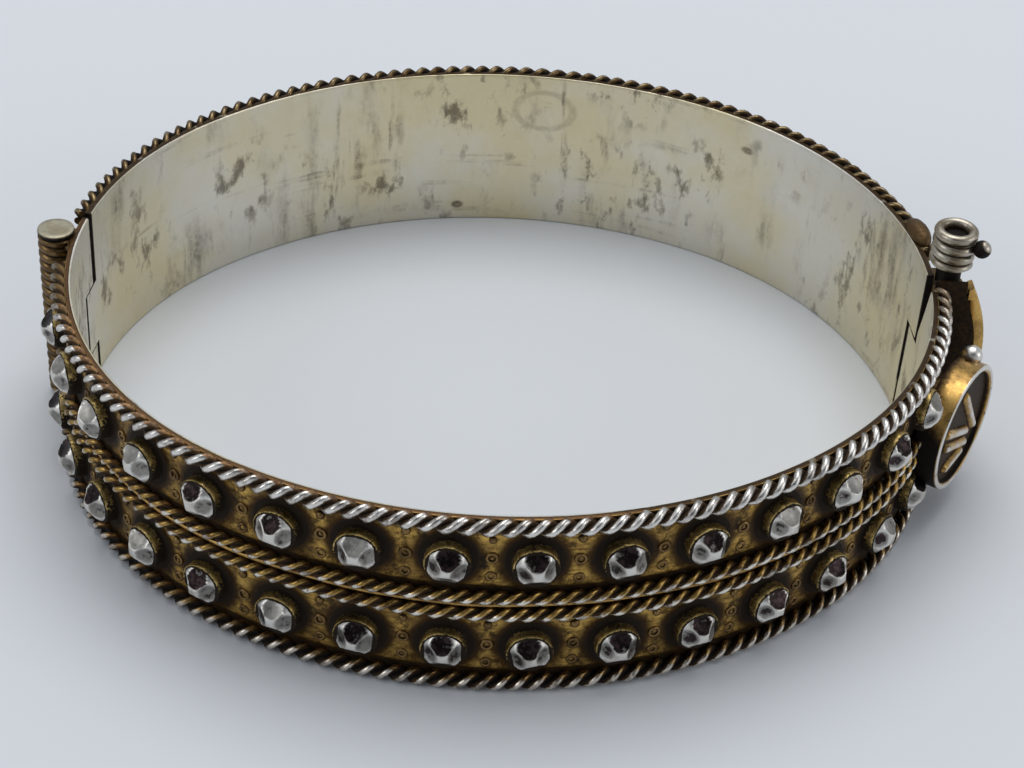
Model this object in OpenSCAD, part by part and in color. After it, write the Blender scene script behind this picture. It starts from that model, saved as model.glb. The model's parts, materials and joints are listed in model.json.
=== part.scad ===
// Hinged bangle of gilded silver, lying on its lower edge.
// Two half hoops turn on a wire-wound hinge barrel and are closed by a clasp pin
// that lifts out. Length runs along X (clasp at +X), the front half is at -Y,
// and Z points up from the surface that the bangle lies on.

/* [Hoop] */
// Half of the inside length, from the hinge end to the clasp end
inside_half_length = 28.7; // [25:0.1:36]
// How much flatter the two long sides are bent than the two ends, as a difference in radius
side_flatness = 6.2; // [0:0.1:14]
// Height of the hoop over its edge ropes
hoop_height = 13.3; // [8:0.1:22]
// Thickness of the sheet wall
wall = 0.5; // [0.4:0.05:1.2]
// How far the top edge rope stands above the sheet
rope_stand = 0.3; // [0:0.05:0.6]

/* [Ropes] */
// Radius of the twisted edge ropes
edge_rope = 0.6; // [0.3:0.01:0.9]
// Radius of the two ropes along the middle
mid_rope = 0.48; // [0.3:0.01:0.9]
// Distance between the centres of the two middle ropes
mid_gap = 1.3; // [1.1:0.01:2.4]
// Distance of the edge ropes' centres from the inside face
edge_reach = 0.8; // [0.6:0.01:1.3]
// Distance of the middle ropes' centres from the inside face
mid_reach = 0.85; // [0.8:0.01:1.3]
// Radius of the plain wire between the middle ropes
mid_wire = 0.17; // [0.1:0.01:0.3]

/* [Studs] */
// Columns of studs on the front half
front_columns = 15; // [8:1:18]
// Columns of studs on the back half
back_columns = 15; // [8:1:16]
// Distance of the front half's first column from the hinge end of the oval
front_first = 1.15; // [0.5:0.05:6]
// Distance of the back half's first column from the hinge end of the oval
back_first = 11; // [10.5:0.05:14]
// Pitch of the columns along the inside face
column_pitch = 5.07; // [3.5:0.01:7]
// Height of each row of studs above or below mid height
row_height = 3.35; // [2.4:0.05:4]
// Radius of the collet round each stud
collet_radius = 1.42; // [0.9:0.01:1.8]
// Distance of the collet's lip from the inside face
collet_reach = 1.3; // [0.7:0.05:1.6]
// Radius of the domed stud
dome_radius = 1.4; // [0.9:0.01:1.7]
// Distance of the dome's top from the inside face
dome_reach = 2.13; // [1.2:0.01:2.6]
// Depth of the four hollows beaten into each dome
hollow_depth = 0.25; // [0.05:0.01:0.4]
// Slow drift of the hand-set spacing, most at the ends of the row
spacing_drift = 0.3; // [0:0.05:0.8]
// Column to column wobble of the hand-set spacing
spacing_wobble = 0.05; // [0:0.01:0.2]

/* [Hinge] */
// Direction of the hinge barrel round the end bend, in degrees
hinge_turn = 168.4; // [160:0.1:175]
// Distance of the hinge axis from the inside face
hinge_reach = 1.65; // [1.5:0.05:2.2]
// Radius of the solid body under the wound wire
barrel_core = 1.1; // [0.9:0.01:1.4]
// Radius of the wound wire
wound_wire = 0.33; // [0.2:0.01:0.34]
// Pitch of the winding
wound_pitch = 0.7; // [0.69:0.01:0.9]
// Radius of the hinge pin
hinge_pin_radius = 0.5; // [0.35:0.01:0.6]
// Radial play of the hinge pin
hinge_play = 0.05; // [0.02:0.01:0.09]
// Radius of the disc on the hinge pin's head
cap_radius = 1.24; // [1.2:0.01:1.6]

/* [Clasp] */
// Direction of the clasp pin round the end bend, in degrees
clasp_turn = -6.5; // [-8:0.1:-5]
// Distance of the clasp pin's axis from the inside face
clasp_reach = 1.5; // [1.4:0.05:2]
// Radius of the clasp pin
clasp_pin_radius = 0.45; // [0.3:0.01:0.5]
// Radial play of the clasp pin
clasp_play = 0.06; // [0.03:0.01:0.09]
// Outer radius of the front half's clasp tube
tube_radius = 1.25; // [1.1:0.01:1.5]
// Outer radius of the back half's open jaw
jaw_radius = 1.1; // [0.95:0.01:1.2]
// Outer radius of the wound head
head_radius = 1.5; // [1.2:0.01:1.8]
// Turns of wire in the head
head_turns = 4; // [3:1:6]

/* [Rosette] */
// Radius of the rosette
rosette_radius = 4.45; // [3:0.05:5.5]
// Depth of its side wall
rosette_depth = 1.8; // [1:0.05:2.5]
// Direction that its face looks in, in degrees
rosette_turn = -41; // [-50:0.5:-20]
// Width of its worn rim
rosette_rim = 0.5; // [0.3:0.05:0.9]
// Depth of the ground between the ribs
rosette_ground = 0.4; // [0.2:0.05:0.8]
// Direction of the bowed strip round the end bend, in degrees
strip_turn = -8.0; // [-9:0.1:-7]
// Radius of the strip's bow, to its outside
strip_bow = 11.47; // [10.5:0.01:12]
// Thickness of the strip
strip_thick = 1; // [0.3:0.05:1.5]
// Width of the strip
strip_width = 1.15; // [0.8:0.05:1.4]

/* [Hidden] */
$fn = 48;
// puts the middle of the whole outline at the origin
oval_x = -1.0;
// four-centre oval: end bends and side bends meet on the slope of a 3-4-5 triangle
meet = atan2(4, 3);
end_shift = 0.6 * side_flatness;
side_shift = 0.8 * side_flatness;
end_bend = inside_half_length - end_shift;
side_bend = end_bend + side_flatness;
end_run = end_bend * meet * PI / 180;
side_run = side_bend * (180 - 2 * meet) * PI / 180;
mid_z = hoop_height / 2;
mid_rope_z = mid_z + 0.07;
sheet_top = hoop_height - rope_stand;
// the band's four zones of height at the hinge and the clasp
hinge_low = mid_z - 4.1;
hinge_high = mid_z + 0.95;
clasp_step = mid_z + 1.0;
zone_gap = 0.14;
// the jaw on the back half's end of the clasp
jaw_low = clasp_step + 0.15;
jaw_high = clasp_step + 4.72;
// ends of the sheet and of the ropes, as directions round the bends
front_leaf_end = 163.4;
back_leaf_start = 162.2;
front_notch_end = 167.8;
back_tongue_end = 167.4;
front_rope_start = 176;
front_rope_end = 349;
front_tongue_end = 357.2;
front_top_end = 351.9;
back_low_start = -1.9;
back_rope_start = -0.4;
back_top_start = -7.3;
back_rope_end = 162.7;
head_pitch = 0.7;
head_wire = 0.34;
head_low = hoop_height + 0.95;

// centre and inside radius of the bend that has this outward direction
function fold(a) = a > 180 ? a - 360 : a;
function bend_centre(a) = let (p = fold(a)) abs(p) <= meet ? [end_shift, 0]
    : abs(p) >= 180 - meet ? [-end_shift, 0] : p > 0 ? [0, -side_shift] : [0, side_shift];
function bend_radius(a) = let (p = fold(a)) abs(p) <= meet || abs(p) >= 180 - meet ? end_bend : side_bend;
function spot(a, reach) = bend_centre(a) + (bend_radius(a) + reach) * [cos(a), sin(a)];
// outward direction at a distance along the front wall, measured from the hinge end
function turn_of(v) = atan2(v[1], v[0]);
function turn_at(s) = s < end_run ? 180 + s / end_bend * 180 / PI
    : s < end_run + side_run ? 180 + meet + (s - end_run) / side_bend * 180 / PI
    : 360 - meet + (s - end_run - side_run) / end_bend * 180 / PI;
function column_at(i, n, first) = first + column_pitch * i
    + spacing_drift * (pow(2 * i / (n - 1) - 1, 2) - 0.5) + spacing_wobble * (i % 2 == 1 ? 1 : -1);
// direction in which the pin leaves the back half's jaw as the hinge begins to open
swing_turn = turn_of(spot(clasp_turn, clasp_reach) - spot(hinge_turn, hinge_reach)) - 90;

// a flat profile (distance from the inside face, height) carried along one bend
module along(from, to) {
    mid = (from + to) / 2;
    translate([bend_centre(mid)[0], bend_centre(mid)[1], 0])
        rotate([0, 0, from])
            rotate_extrude(angle = to - from, $fn = 360)
                translate([bend_radius(mid), 0])
                    children();
}

// the same, starting exactly where two bends meet; a negative span runs back towards the hinge
module from_meet(a, span) {
    inner = a + span / 2;
    translate([bend_centre(inner)[0], bend_centre(inner)[1], 0])
        rotate([0, 0, a])
            mirror([0, span < 0 ? 1 : 0, 0])
                rotate_extrude(angle = abs(span), $fn = 360)
                    translate([bend_radius(inner), 0])
                        children();
}

// the profile of the edge ropes, the middle ropes and the middle wire
module rope_profile() {
    translate([edge_reach, edge_rope])
        circle(r = edge_rope);
    translate([edge_reach, hoop_height - edge_rope])
        circle(r = edge_rope);
    for (side = [-1, 1])
        translate([mid_reach, mid_rope_z + side * mid_gap / 2])
            circle(r = mid_rope);
    translate([wall - 0.1, mid_rope_z - 0.12])
        square([0.35, 0.24]);
    translate([wall + 0.25, mid_rope_z])
        circle(r = mid_wire);
}

// the full profile of the band
module band_profile() {
    square([wall, sheet_top]);
    rope_profile();
}

// a block across the sheet, to cut a step into its end
module step_block(from, to, low, high) {
    along(from, to)
        translate([-1, low])
            square([2.6, high - low]);
}

module stand(a, reach, z) {
    translate([spot(a, reach)[0], spot(a, reach)[1], z])
        rotate([0, 0, a])
            children();
}

// one stud: a collet with a dome beaten into four hollows
module stud(a, z) {
    stand(a, 0, z)
        rotate([0, 90, 0]) {
            translate([0, 0, 0.3])
                cylinder(r = collet_radius, h = collet_reach - 0.3);
            difference() {
                translate([0, 0, dome_reach - dome_radius])
                    sphere(r = dome_radius);
                translate([-2, -2, -2])
                    cube([4, 4, 2.4]);
                for (quarter = [0 : 3])
                    translate([0, 0, dome_reach - dome_radius])
                        rotate([0, 42, 90 * quarter])
                            translate([0, 0, dome_radius + 1.5 - hollow_depth])
                                sphere(r = 1.5);
            }
        }
}

module stud_rows(n, first, mirrored) {
    for (i = [0 : n - 1])
        for (side = [-1, 1])
            stud(mirrored ? 360 - turn_at(column_at(i, n, first)) : turn_at(column_at(i, n, first)),
                 mid_z + side * row_height);
}

// a length of barrel wound with wire, bored for the hinge pin
module wound_knuckle(low, high) {
    count = floor((high - low - 2 * wound_wire) / wound_pitch) + 1;
    first = (low + high - (count - 1) * wound_pitch) / 2;
    difference() {
        rotate_extrude()
            union() {
                translate([0, low])
                    square([barrel_core, high - low]);
                for (i = [0 : count - 1])
                    translate([barrel_core - 0.17, first + i * wound_pitch])
                        circle(r = wound_wire);
            }
        translate([0, 0, low - 1])
            cylinder(r = hinge_pin_radius + hinge_play, h = high - low + 2);
    }
}

// a knuckle of the hinge with the saddle that joins it to its own sheet
module hinge_knuckle(low, high, saddle_from, saddle_to) {
    stand(hinge_turn, hinge_reach, 0) {
        wound_knuckle(low, high);
        translate([0.3 - hinge_reach, -saddle_to, low + 0.1])
            cube([0.7, saddle_to - saddle_from, high - low - 0.2]);
    }
}

// the rosette: a drum with a worn rim and ribs spreading over a sunk ground
module rosette() {
    translate([29.52, -11.95, mid_z])
        rotate([0, 0, rosette_turn])
            rotate([0, 90, 0]) {
                difference() {
                    translate([0, 0, -rosette_depth])
                        cylinder(r = rosette_radius, h = rosette_depth);
                    translate([0, 0, -rosette_ground])
                        cylinder(r = rosette_radius - rosette_rim, h = 2);
                }
                // ribs: height on the face, sideways place, turn and length
                intersection() {
                    translate([0, 0, -rosette_ground - 0.2])
                        cylinder(r = rosette_radius - 0.1, h = rosette_ground + 0.1);
                    union() {
                        rib(0.9, 0.95, 55, 9);
                        rib(0.1, -0.55, 26, 9);
                        rib(-1.25, -0.55, 23, 9);
                        rib(-2.55, -0.4, -2, 9);
                    }
                }
                // the grain on its upper edge
                rotate([0, 0, 180 - 27])
                    translate([rosette_radius + 0.25, 0, -1.2])
                        sphere(r = 0.7);
            }
}

module rib(up, side, turn, long) {
    translate([-up, side, -rosette_ground - 0.1])
        rotate([0, 0, -turn])
            translate([-0.2, -long / 2, 0])
                cube([0.4, long, rosette_ground + 0.05]);
}

// hidden collar that carries the rosette, kept out of the inside of the hoop
module rosette_collar() {
    difference() {
        translate([29.52, -11.95, mid_z])
            rotate([0, 0, rosette_turn])
                rotate([0, 90, 0])
                    translate([0, 0, -rosette_depth - 2.6])
                        cylinder(r = 2.9, h = 2.8);
        translate([end_shift, 0, 0])
            cylinder(r = end_bend + 0.2, h = hoop_height, $fn = 360);
    }
}

// bowed strip over the clasp, standing out from the front half's tube
module strip() {
    difference() {
        translate([end_shift, 0, 0])
            rotate([0, 0, strip_turn])
                translate([end_bend - 6.88, 0, mid_z + 0.46])
                    rotate([90, 0, 0])
                        rotate([0, 0, -33.4])
                            rotate_extrude(angle = 62.4, $fn = 180)
                                translate([strip_bow - strip_thick, -strip_width / 2])
                                    square([strip_thick, strip_width]);
        // room for the jaw behind the strip's upper end
        stand(clasp_turn, clasp_reach, clasp_step)
            cylinder(r = jaw_radius + 0.15, h = 6);
    }
}

// front half's hinge end: two leaves of sheet with a notched middle between them
module front_hinge_end() {
    difference() {
        from_meet(180 + meet, front_leaf_end - 180 - meet)
            square([wall, sheet_top]);
        step_block(front_leaf_end - 3, front_notch_end, hinge_low - zone_gap / 2, hinge_high + zone_gap / 2);
        stand(hinge_turn, hinge_reach, hinge_low - zone_gap / 4)
            cylinder(r = barrel_core + 0.3, h = hinge_high - hinge_low + zone_gap / 2);
    }
    from_meet(180 + meet, front_rope_start - 180 - meet)
        rope_profile();
    hinge_knuckle(hinge_high + zone_gap / 2, sheet_top, -0.8, 0.8);
    hinge_knuckle(0.35, hinge_low - zone_gap / 2, -0.8, 0.8);
}

// front half's clasp end: a low tongue with its tube, and a trimmed upper corner
module front_clasp_end() {
    difference() {
        from_meet(360 - meet, front_tongue_end - 360 + meet)
            square([wall, sheet_top]);
        step_block(front_top_end, front_tongue_end + 3, clasp_step - zone_gap / 2, hoop_height + 1);
        stand(clasp_turn, 0, mid_z + 1.7)
            translate([-2, -0.62, 0])
                rotate([20, 0, 0])
                    cube([4, 4, 9]);
    }
    from_meet(360 - meet, front_rope_end - 360 + meet)
        rope_profile();
    stand(clasp_turn, clasp_reach, 0)
        difference() {
            union() {
                translate([0, 0, 0.3])
                    cylinder(r = tube_radius, h = clasp_step - zone_gap / 2 - 0.3);
                translate([0.3 - clasp_reach, -0.9, 0.4])
                    cube([0.6, 1.8, clasp_step - zone_gap / 2 - 0.5]);
            }
            cylinder(r = clasp_pin_radius + clasp_play, h = hoop_height);
        }
}

module front_half() {
    color([0.79, 0.74, 0.62])
        union() {
            front_hinge_end();
            from_meet(180 + meet, 91 - meet)
                band_profile();
            from_meet(360 - meet, meet - 91)
                band_profile();
            front_clasp_end();
            stud_rows(front_columns, front_first, false);
            rosette();
            rosette_collar();
            strip();
        }
}

// back half's clasp end: the sheet's upper corner with the open jaw
module back_clasp_end() {
    difference() {
        from_meet(meet, back_top_start - meet)
            square([wall, sheet_top]);
        step_block(back_top_start - 3, back_low_start, -1, clasp_step + zone_gap / 2);
    }
    from_meet(meet, back_rope_start - meet)
        rope_profile();
    stand(clasp_turn, clasp_reach, 0)
        difference() {
            union() {
                translate([0, 0, jaw_low])
                    cylinder(r = jaw_radius, h = jaw_high - jaw_low);
                translate([0.2 - clasp_reach, 0.6, jaw_low + 0.08])
                    cube([1.2, 1.1, jaw_high - jaw_low - 0.16]);
            }
            cylinder(r = clasp_pin_radius + clasp_play, h = hoop_height);
            // mouth of the jaw, along the path of its first travel
            rotate([0, 0, swing_turn - clasp_turn])
                translate([0, -clasp_pin_radius - clasp_play, 0])
                    cube([3, 2 * (clasp_pin_radius + clasp_play), hoop_height]);
        }
}

// back half's hinge end: short leaves and the tongue with the middle knuckle
module back_hinge_end() {
    difference() {
        from_meet(180 - meet, back_tongue_end - 180 + meet)
            square([wall, sheet_top]);
        step_block(back_leaf_start, back_tongue_end + 3, -1, hinge_low + zone_gap / 2);
        step_block(back_leaf_start, back_tongue_end + 3, hinge_high - zone_gap / 2, hoop_height + 1);
    }
    from_meet(180 - meet, back_rope_end - 180 + meet)
        rope_profile();
    hinge_knuckle(hinge_low + zone_gap / 2, hinge_high - zone_gap / 2, 0.45, 1.1);
}

module back_half() {
    color([0.76, 0.71, 0.6])
        union() {
            back_clasp_end();
            from_meet(meet, 91 - meet)
                band_profile();
            from_meet(180 - meet, meet - 91)
                band_profile();
            back_hinge_end();
            stud_rows(back_columns, back_first, true);
            // long blob at the end of the top rope
            for (a = [3, 4.3, 5.6])
                stand(a, 0.78, sheet_top + 0.12)
                    sphere(r = 0.72);
        }
}

module hinge_pin() {
    color([0.82, 0.79, 0.68])
        stand(hinge_turn, hinge_reach, 0)
            union() {
                translate([0, 0, 0.05])
                    cylinder(r = hinge_pin_radius, h = hoop_height - 0.2);
                translate([0, 0, sheet_top + 0.06])
                    cylinder(r = cap_radius, h = 0.36);
                translate([0, 0, 0.05])
                    cylinder(r = 0.8, h = 0.24);
            }
}

module clasp_pin() {
    color([0.78, 0.76, 0.7])
        stand(clasp_turn, clasp_reach, 0)
            union() {
                translate([0, 0, 0.5])
                    cylinder(r = clasp_pin_radius, h = hoop_height);
                // neck and wound head
                translate([0, 0, jaw_high + 0.13])
                    cylinder(r = 0.85, h = head_low - jaw_high - 0.13);
                difference() {
                    rotate_extrude()
                        union() {
                            translate([0, head_low])
                                square([head_radius - head_wire, (head_turns - 1) * head_pitch]);
                            for (i = [0 : head_turns - 1])
                                translate([head_radius - head_wire, head_low + i * head_pitch])
                                    circle(r = head_wire);
                        }
                    // cupped top
                    translate([0, 0, head_low + (head_turns - 1) * head_pitch + 1.05])
                        sphere(r = 1.25);
                }
                // knob on a short stub
                rotate([0, 0, -32])
                    translate([0, 0, head_low + 1.4]) {
                        rotate([0, 90, 0])
                            cylinder(r = 0.35, h = 2);
                        translate([head_radius + 0.45, 0, 0])
                            sphere(r = 0.62);
                    }
            }
}

translate([oval_x, 0, 0]) front_half();
translate([oval_x, 0, 0]) back_half();
translate([oval_x, 0, 0]) hinge_pin();
translate([oval_x, 0, 0]) clasp_pin();
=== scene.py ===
# %% [markdown]
# # Hinged bangle of gilded silver
# An oval band of sheet silver lies on its lower edge. Four ropes of twisted wire run round it, two rows of
# hand-faceted studs stand between them, a wire-wound barrel hinges the two halves at the left, and a pin
# with a wound head closes them at the right, beside a round rosette. Each cell makes one of these pieces as
# a surface worked out in numpy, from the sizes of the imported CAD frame.

# %% Start: the fixed frame
import bpy
import json
import math
import numpy as np
from mathutils import Matrix, Vector


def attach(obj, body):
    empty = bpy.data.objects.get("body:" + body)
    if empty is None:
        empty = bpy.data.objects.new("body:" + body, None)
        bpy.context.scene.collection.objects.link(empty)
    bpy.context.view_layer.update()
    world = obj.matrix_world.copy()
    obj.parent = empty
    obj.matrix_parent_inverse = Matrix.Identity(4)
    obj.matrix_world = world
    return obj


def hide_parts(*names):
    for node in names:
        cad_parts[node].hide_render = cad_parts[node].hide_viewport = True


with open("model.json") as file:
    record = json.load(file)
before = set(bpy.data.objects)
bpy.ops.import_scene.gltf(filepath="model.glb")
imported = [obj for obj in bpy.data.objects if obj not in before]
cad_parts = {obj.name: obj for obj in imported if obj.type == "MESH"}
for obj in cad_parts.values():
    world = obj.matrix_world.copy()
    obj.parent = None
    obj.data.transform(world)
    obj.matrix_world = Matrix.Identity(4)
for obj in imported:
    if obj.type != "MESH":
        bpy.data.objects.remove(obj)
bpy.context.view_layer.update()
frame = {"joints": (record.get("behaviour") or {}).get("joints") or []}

# %% [markdown]
# ## The oval
# Hoops like this are bent round an oval former. Four arcs make a true oval: two tighter ones at the ends
# and two flatter ones along the sides, meeting where a 3-4-5 triangle puts their common radius, so the
# curve has no corner. Every piece is placed by three numbers in millimetres: the direction round the hoop,
# the distance out from the inside face, and the height.

# %% The oval and its sizes
MM = 0.001
joints = {j["name"]: j for j in frame["joints"]}
HINGE = np.array(joints["hinge"]["pos_m"][:2]) / MM
TOP = 13.3                      # top of the edge ropes
MID = TOP / 2
SHEET_TOP = 13.0
WALL = 0.5
SHIFT = -1.0                    # the oval's centre along X
END_R, FLAT = 24.98, 6.2
MEET = math.degrees(math.atan2(4, 3))
TURNS = np.array([-MEET, MEET, 180 - MEET, 180 + MEET, 360 - MEET, 360 + MEET])
RADII = np.array([END_R, END_R + FLAT, END_R, END_R + FLAT, END_R])
CENTRE_X = np.array([0.6, 0, -0.6, 0, 0.6]) * FLAT + SHIFT
CENTRE_Y = np.array([0, -0.8, 0, 0.8, 0]) * FLAT


def place(turn, reach, z):
    """Points at a direction round the hoop, a reach out from the inside face and a height, in metres:
    the arc's centre plus its radius and the reach, along the direction."""
    turn, reach, z = np.broadcast_arrays(*(np.asarray(v, float) for v in (turn, reach, z)))
    k = np.clip(np.searchsorted(TURNS, turn) - 1, 0, 4)
    t, r = np.radians(turn), RADII[k] + reach
    return np.stack([CENTRE_X[k] + r * np.cos(t), CENTRE_Y[k] + r * np.sin(t), z], -1) * MM


def marks(reach):
    """Distance along the wall where each arc starts: the sum of radius times angle of the arcs before it."""
    return np.concatenate([[0], np.cumsum((RADII + reach) * np.radians(np.diff(TURNS)))])


def run(turn, reach):
    """Distance along the wall at a direction and a reach."""
    return np.interp(turn, TURNS, marks(reach))


def turn_at(distance, reach):
    """The direction at a distance along the wall: the other way round from run."""
    return np.interp(distance, marks(reach), TURNS)


def beside(turn, side, reach=1.0):
    """The direction of a point that lies a distance to the side of another direction."""
    return turn_at(run(turn, reach) + side, reach)


def unit(x):
    """The value kept between 0 and 1."""
    return np.clip(x, 0, 1)


def smooth_min(a, b, soft):
    """The smaller of two values, rounded where they cross."""
    h = unit(0.5 + 0.5 * (b - a) / soft)
    return b * (1 - h) + a * h - soft * h * (1 - h)


def angles(count):
    """Even angles once round, without the last one that would fall on the first."""
    return np.linspace(0, 2 * np.pi, count, endpoint=False)


def spun(profile, around):
    """The columns of a profile, such as radius and height, as grids whose rows run along it and columns go
    round."""
    return np.array(profile).T[..., None] + 0 * around


def fade(turn, first, last, over):
    """1 from the first direction on, fading to 0 at the last one over some degrees."""
    return (turn > first) * unit((last - turn) / over)


print("round the inside face, mm:", round(float(run(360, 0) - run(0, 0)), 2))


# %% [markdown]
# ## From grids to meshes
# A Pile gathers closed shells of grid points and turns them into one mesh. A shell is a tube (rows along
# it, columns round it) closed at both ends, or a ring that closes both ways. Each shell is turned so that
# its faces look out.

# %% The mesh maker
def new_object(name, data):
    """A new object in the scene."""
    o = bpy.data.objects.new(name, data)
    bpy.context.scene.collection.objects.link(o)
    return o


class Pile:
    """Closed shells gathered into one mesh, with one number per point for each named attribute."""

    def __init__(self):
        self.points, self.quads, self.tris, self.mats, self.tri_mats = [], [], [], [], []
        self.data, self.count = {}, 0

    def _add(self, points, quads, tris, mats, data):
        """Take in one shell, turned so that the volume inside its faces is positive."""
        corners = np.concatenate([tris, quads[:, :3], quads[:, [0, 2, 3]]])
        a, b, c = (points[corners[:, i]] - points.mean(0) for i in range(3))
        if np.einsum("ij,ij->i", a, np.cross(b, c)).sum() < 0:
            quads, tris = quads[:, ::-1], tris[:, ::-1]
        self.quads.append(quads + self.count)
        self.tris.append(tris + self.count)
        self.mats.append(mats)
        self.tri_mats.append(np.full(len(tris), mats[0]))
        for name in sorted({*self.data, *data}):
            self.data.setdefault(name, [np.zeros(self.count)]).append(
                np.broadcast_to(data.get(name, 0.0), len(points)))
        self.points.append(points)
        self.count += len(points)

    @staticmethod
    def _grid(P, data, wrap_rows):
        """Point numbers that close round the columns (and the rows if asked), with their quads, points and
        data."""
        n, m = P.shape[:2]
        w = np.pad(np.arange(n * m).reshape(n, m), ((0, wrap_rows), (0, 1)), mode="wrap")
        quads = np.stack([w[:-1, :-1], w[:-1, 1:], w[1:, 1:], w[1:, :-1]], -1).reshape(-1, 4)
        values = {k: np.broadcast_to(v, (n, m)).reshape(-1) for k, v in data.items()}
        return w, quads, P.reshape(-1, 3), values

    def tube(self, P, ends="fan", tips=(None, None), mat=0, face_mat=None, **data):
        """Rows of P run along the tube and columns go round it. Its ends close to a point, or across in
        pairs."""
        n, m = P.shape[:2]
        w, quads, points, flat = self._grid(P, data, 0)
        mats = np.full(len(quads), mat) if face_mat is None else np.tile(face_mat, n - 1)
        caps, tris = [], []
        for row, tip, way in ((w[0], tips[0], -1), (w[-1], tips[1], 1)):
            if ends == "fan":
                points = np.vstack([points, points[row[:-1]].mean(0) if tip is None else tip])
                flat = {k: np.append(v, v[row[:-1]].mean()) for k, v in flat.items()}
                tris.append(np.stack([np.full(m, len(points) - 1), row[:-1], row[1:]], -1)[:, ::way])
            else:
                h = m // 2
                j = np.arange(1, h - 1)
                caps.append(np.stack([row[j], row[j + 1], row[m - j - 1], row[m - j]], -1)[:, ::way])
                tris.append(row[np.array([[0, 1, m - 1], [h - 1, h, h + 1]])][:, ::way])
        quads = np.vstack([quads, *caps])
        mats = np.append(mats, np.full(len(quads) - len(mats), mat))
        self._add(points, quads, np.vstack(tris), mats, flat)

    def ring(self, P, **data):
        """Closed both ways, such as a torus."""
        _, quads, points, flat = self._grid(P, data, 1)
        self._add(points, quads, np.zeros((0, 3), int), np.zeros(len(quads), int), flat)

    def make(self, name, materials, body, sharp=38, slot="gilt_silver"):
        """One object from all the shells, riding a body. The slot argument is not used."""
        points, quads, tris = (np.concatenate(part) for part in (self.points, self.quads, self.tris))
        me = bpy.data.meshes.new(name)
        me.from_pydata(points.tolist(), [], quads.tolist() + tris.tolist(), shade_flat=False)
        me.polygons.foreach_set("material_index", np.concatenate([*self.mats,
                                                                  *self.tri_mats]).astype(np.int32))
        for key, parts in self.data.items():
            layer = me.attributes.new(key, "FLOAT", "POINT")
            layer.data.foreach_set("value", np.concatenate(parts).astype(np.float32))
        me.update()
        me.validate()
        me.set_sharp_from_angle(angle=math.radians(sharp))
        for m in materials:
            me.materials.append(m)
        o = new_object(name, me)
        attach(o, body)
        print(f"{name}: {len(quads) * 2 + len(tris)} triangles")
        return o


# %% [markdown]
# ## Metals
# The bangle is silver, gilded on the outside and worn back to bright silver wherever it is touched.
# Sulphide has turned the hollows brown and black. Each metal mixes a clean and a tarnished colour by the
# piece's own attributes (how deep a point lies, how exposed it is) and by noise in object space, so no
# picture is needed. Some attributes also carry painted light and shade: painted shadow round the studs and
# in the open joints, painted shade along the feet of the ropes, with the tarnish in their twist and on the
# shaded sides of small parts, painted dark reflection in the dome facets, a dark web standing in for the
# shadow behind the bowed strip, and a painted highlight on the clasp's knob.

# %% Material helpers
class Nodes:
    """Short names for making and joining shader nodes."""

    def __init__(self, name):
        self.mat = bpy.data.materials.new(name)
        self.mat.use_nodes = True
        self.tree = self.mat.node_tree
        self.shader = self.tree.nodes["Principled BSDF"]
        self.place = self.node("TexCoord", "Object", {})

    def put(self, node, values):
        """Set a node's inputs, or link them where the value is another node's output."""
        for k, v in values.items():
            socket = node.inputs[k]
            if isinstance(v, bpy.types.NodeSocket):
                self.tree.links.new(v, socket)
            else:
                socket.default_value = (*v, 1) if socket.type == "RGBA" else v

    def node(self, kind, output, values, **settings):
        """Add a node with its settings and inputs, and give one of its outputs."""
        n = self.tree.nodes.new("ShaderNode" + kind)
        for k, v in settings.items():
            setattr(n, k, v)
        self.put(n, values)
        return n.outputs[output]

    def attribute(self, name):
        return self.node("Attribute", "Fac", {}, attribute_name=name)

    def scaled(self, *scale):
        return self.node("Mapping", "Vector", {"Vector": self.place, "Scale": scale})

    def noise(self, scale, detail=4, rough=0.55, at=None, distortion=0.0):
        return self.node("TexNoise", "Fac", {"Vector": self.place if at is None else at, "Scale": scale,
                                             "Detail": detail, "Roughness": rough, "Distortion": distortion})

    def step(self, value, low, high, to_low=0.0, to_high=1.0):
        return self.node("MapRange", "Result", {"Value": value, "From Min": low, "From Max": high,
                                                "To Min": to_low,
                                                "To Max": to_high}, interpolation_type="SMOOTHSTEP")

    def math(self, operation, a, b=0.5, clamp=False):
        return self.node("Math", 0, {0: a, 1: b}, operation=operation, use_clamp=clamp)

    def times(self, a, b):
        return self.math("MULTIPLY", a, b)

    def most(self, a, b):
        return self.math("MAXIMUM", a, b)

    def ragged(self, name, noise, amount):
        """An attribute whose limits run raggedly: its value plus an amount times the noise less a half."""
        return self.math("ADD", self.attribute(name), self.times(self.math("SUBTRACT", noise), amount))

    def mix(self, share, a, b):
        return self.node("Mix", 2, {0: share, 6: a, 7: b}, data_type="RGBA")

    def coat(self, color, paint, value, low, high, share=1.0):
        """A colour with a coat of another, from where a value is low (none) to where it is high (its full
        share)."""
        return self.mix(self.step(value, low, high, 0.0, share), color, paint)

    def blend(self, share, a, b):
        return self.node("Mix", 0, {0: share, 2: a, 3: b}, data_type="FLOAT")

    def bump(self, height, distance, strength=1.0, normal=None):
        values = {"Height": height, "Distance": distance, "Strength": strength}
        return self.node("Bump", "Normal", values if normal is None else {**values, "Normal": normal})

    def finish(self, color, rough, metal=1.0, normal=None, gloss=0.25):
        values = {"Base Color": color, "Roughness": rough, "Metallic": metal, "Specular IOR Level": gloss}
        self.put(self.shader, values if normal is None else {**values, "Normal": normal})
        return self.mat


WORN = (0.70, 0.675, 0.635)
INSIDE = (0.76, 0.735, 0.67)
STRAW = (0.73, 0.65, 0.43)
ORANGE = (0.36, 0.19, 0.06)
OLIVE = (0.16, 0.11, 0.035)
BROWN = (0.060, 0.032, 0.012)
BLACK = (0.012, 0.009, 0.007)
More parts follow.
